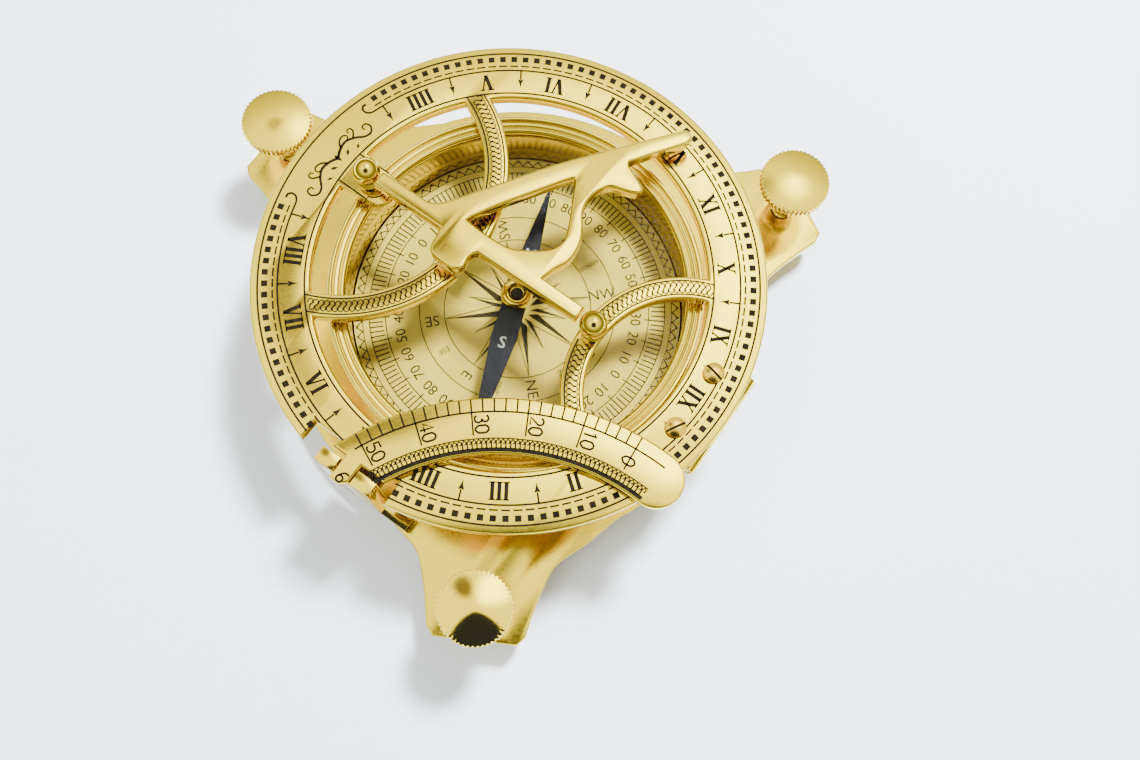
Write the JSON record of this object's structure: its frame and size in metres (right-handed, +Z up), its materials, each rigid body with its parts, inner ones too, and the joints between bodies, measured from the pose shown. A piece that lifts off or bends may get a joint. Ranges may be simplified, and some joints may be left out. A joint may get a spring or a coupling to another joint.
{
  "type": "folding sundial compass",
  "caption": "Brass sundial compass on a three-lobed levelling base, with a tilting hour ring, a folding latitude arc and a folding gnomon.",
  "frame": {"origin": "middle of the object's footprint, on the surface that its three feet stand on; the compass axis stands at x = 0.0006, y = -0.0102 m", "axes": "+Z up, parallel to the compass axis; -Y towards noon (XII) and the hour ring's hinge; +X to the right when noon is nearest"},
  "size_m": [0.125, 0.1187, 0.0357],
  "materials": {
    "brass": "polished",
    "steel": "satin",
    "black_steel": "blackened satin",
    "printed_card": "printed, matte",
    "glass": "clear"
  },
  "bodies": {
    "base": {"base_plate": "brass", "compass_housing": "brass", "bezel": "brass", "glass": "glass", "compass_card": "printed_card", "pivot_pin": "steel", "housing_screw_1": "brass", "housing_screw_2": "brass", "housing_screw_3": "brass", "ring_hinge_bracket": "brass", "bracket_screw_left": "brass", "bracket_screw_right": "brass", "ring_hinge_pin": "brass"},
    "hour_ring": {"chapter_ring": "brass", "ring_hinge_leaf": "brass", "ring_screw_left": "brass", "ring_screw_right": "brass", "gnomon_post_far": "brass", "gnomon_post_near": "brass", "arc_bracket": "brass", "arc_bracket_screw_1": "brass", "arc_bracket_screw_2": "brass", "arc_pin": "brass"},
    "arc": {"latitude_arc": "brass"},
    "gnomon": {"gnomon": "brass"},
    "needle": {"needle": "black_steel", "needle_cap": "brass"},
    "foot_1": {"foot_1": "brass"},
    "foot_2": {"foot_2": "brass"},
    "foot_3": {"foot_3": "brass"},
    "screw_1": {"levelling_screw_1": "brass"},
    "screw_2": {"levelling_screw_2": "brass"},
    "screw_3": {"levelling_screw_3": "brass"}
  },
  "joints": [
    {"name": "ring_tilt", "type": "hinge", "parent": "base", "child": "hour_ring", "pos_m": [0.0006, -0.05747, 0.0244], "axis": [1, 0, 0], "range_deg": [0, 90]},
    {"name": "arc_fold", "type": "hinge", "parent": "hour_ring", "child": "arc", "pos_m": [-0.0483, -0.00882, 0.0298], "axis": [0, -1, 0], "range_deg": [0, 90]},
    {"name": "gnomon_fold", "type": "hinge", "parent": "hour_ring", "child": "gnomon", "pos_m": [0.0006, -0.00882, 0.033], "axis": [0, -1, 0], "range_deg": [0, 90]},
    {"name": "needle_turn", "type": "hinge", "parent": "base", "child": "needle", "pos_m": [0.0006, -0.01022, 0.02], "axis": [0, 0, 1], "continuous": true},
    {"name": "foot_1_lift", "type": "slide", "parent": "base", "child": "foot_1", "axis": [0, 0, -1], "range_m": [-0.0014, 0.0014]},
    {"name": "foot_2_lift", "type": "slide", "parent": "base", "child": "foot_2", "axis": [0, 0, -1], "range_m": [-0.0014, 0.0014]},
    {"name": "foot_3_lift", "type": "slide", "parent": "base", "child": "foot_3", "axis": [0, 0, -1], "range_m": [-0.0014, 0.0014]},
    {"name": "screw_1_turn", "type": "hinge", "parent": "foot_1", "child": "screw_1", "pos_m": [0.00201, 0.05197, 0], "axis": [0, 0, -1], "range_deg": [-721, 721]},
    {"name": "screw_2_turn", "type": "hinge", "parent": "foot_2", "child": "screw_2", "pos_m": [-0.05396, -0.04009, 0], "axis": [0, 0, -1], "range_deg": [-721, 721]},
    {"name": "screw_3_turn", "type": "hinge", "parent": "foot_3", "child": "screw_3", "pos_m": [0.05375, -0.04253, 0], "axis": [0, 0, -1], "range_deg": [-721, 721]}
  ],
  "couplings": [
    {"joint": "screw_1_turn", "follows": "foot_1_lift", "rad_per_m": 8976},
    {"joint": "screw_2_turn", "follows": "foot_2_lift", "rad_per_m": 8976},
    {"joint": "screw_3_turn", "follows": "foot_3_lift", "rad_per_m": 8976}
  ]
}
